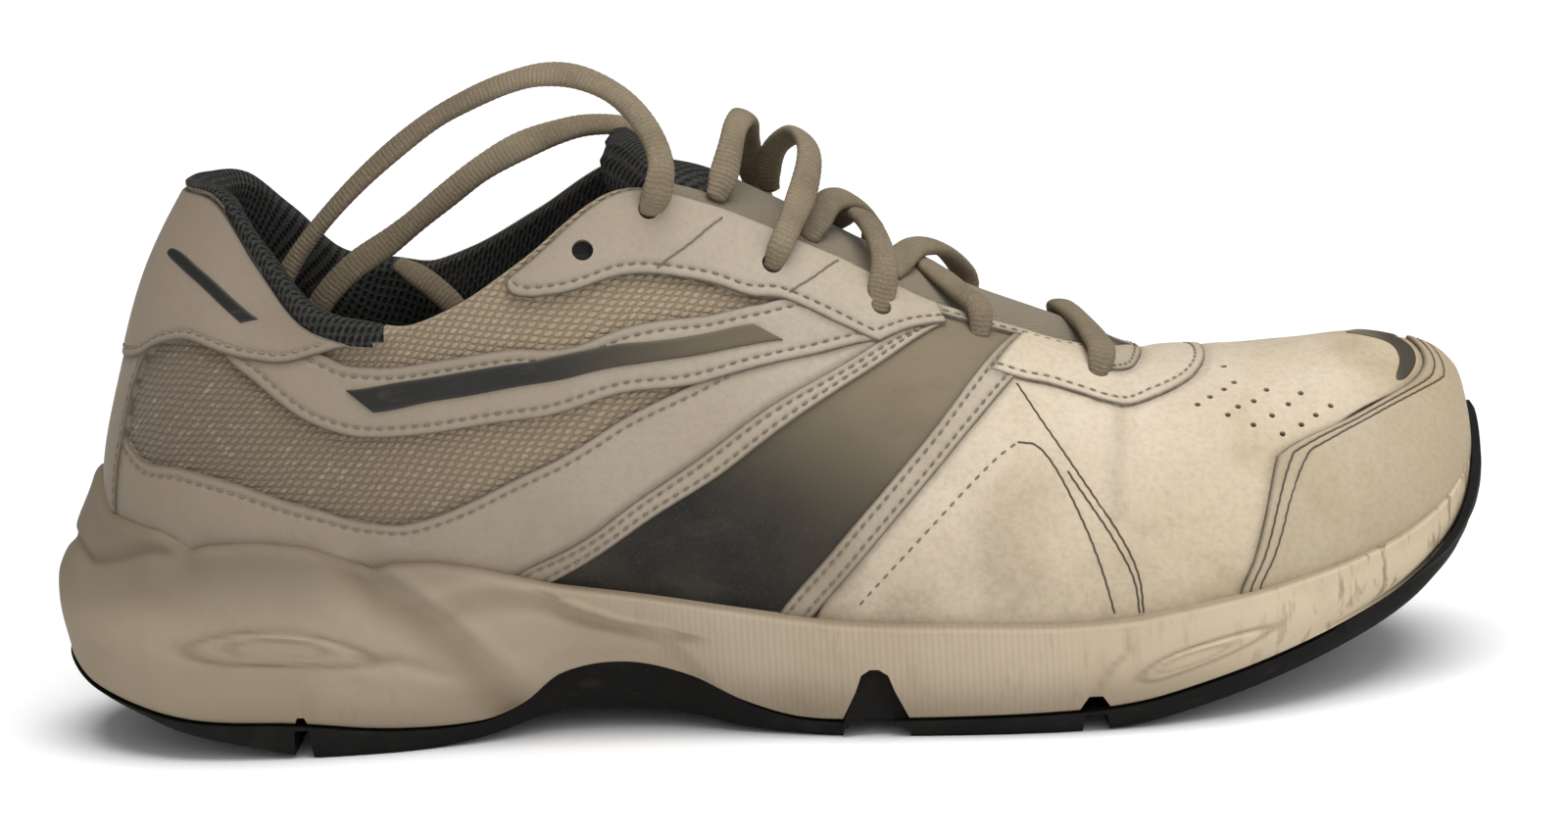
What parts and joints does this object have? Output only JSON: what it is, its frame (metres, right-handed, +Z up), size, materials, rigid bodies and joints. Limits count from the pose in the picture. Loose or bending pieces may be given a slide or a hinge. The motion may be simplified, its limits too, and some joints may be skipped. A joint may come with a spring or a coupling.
{
  "type": "running shoe",
  "caption": "Worn low-cut running shoe for the right foot: hollow panelled upper, padded collar, tongue and laces on a cushioned sole.",
  "frame": {"origin": "on the floor, under the middle of the shoe's box", "axes": "+X towards the toe, +Y towards the inner side of the foot, +Z up from the floor"},
  "size_m": [0.3019, 0.1063, 0.1357],
  "materials": {
    "leather": "worn smooth leather, dirty off-white",
    "foam": "moulded foam, yellowed and scuffed",
    "rubber": "matt black rubber",
    "lining": "coarse dark grey knit over foam",
    "sockliner": "flattened grey cloth over foam",
    "lace": "flat woven cord, soiled"
  },
  "bodies": {
    "root": {"upper": "leather", "midsole": "foam", "outsole": "rubber", "insole": "sockliner", "tongue": "lining", "lace_cross_back": "lace", "lace_cross_front": "lace", "lace_bar": "lace", "lace_end_outer": "lace", "lace_end_inner": "lace", "lace_loop_back": "lace", "lace_loop_front": "lace"}
  },
  "joints": []
}
